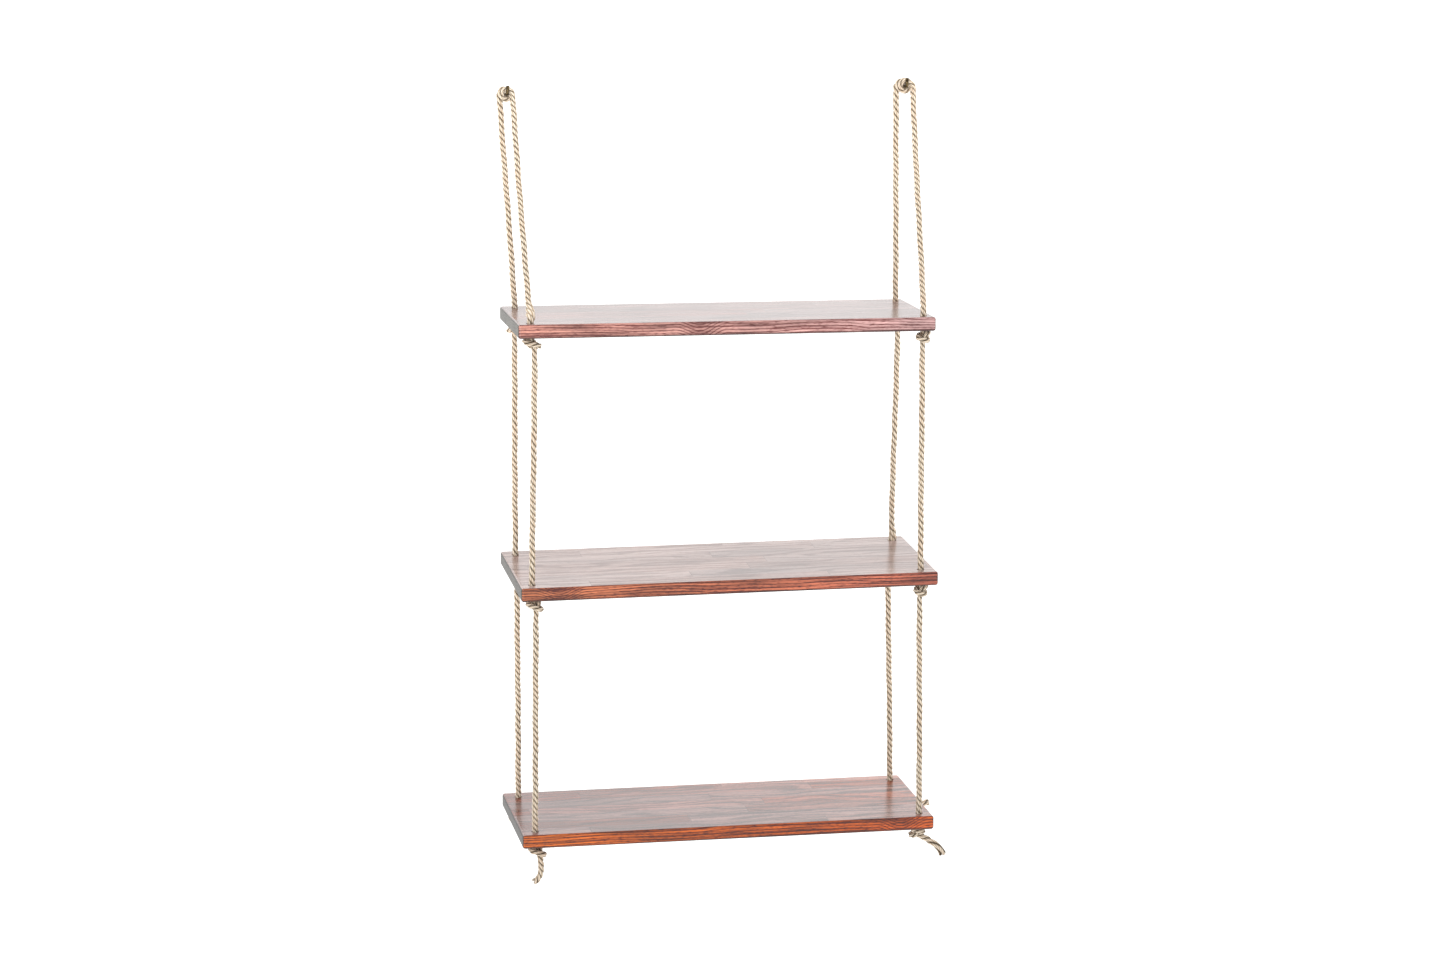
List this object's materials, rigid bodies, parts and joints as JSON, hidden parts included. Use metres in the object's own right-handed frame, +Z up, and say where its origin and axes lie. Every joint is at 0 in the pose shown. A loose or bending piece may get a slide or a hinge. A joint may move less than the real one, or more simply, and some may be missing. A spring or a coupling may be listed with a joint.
{
  "type": "rope-hung wall shelf with wall hooks",
  "caption": "Tiered wall shelf: varnished hardwood boards strung on knotted laid rope that hangs from plain wall hooks.",
  "frame": {"origin": "on the wall, midway between the two hooks' shanks", "axes": "+X to the viewer's right, +Y into the wall, +Z up; the shelf's front faces -Y"},
  "size_m": [0.4834, 0.1809, 0.8507],
  "materials": {
    "wood": "glossy varnished reddish hardwood",
    "rope": "matt three-strand natural rope",
    "hook": "dark antique bronze"
  },
  "bodies": {
    "root": {"board_top": "wood", "board_middle": "wood", "board_bottom": "wood", "rope_left": "rope", "rope_right": "rope", "hook_left": "hook", "hook_right": "hook"}
  },
  "joints": []
}
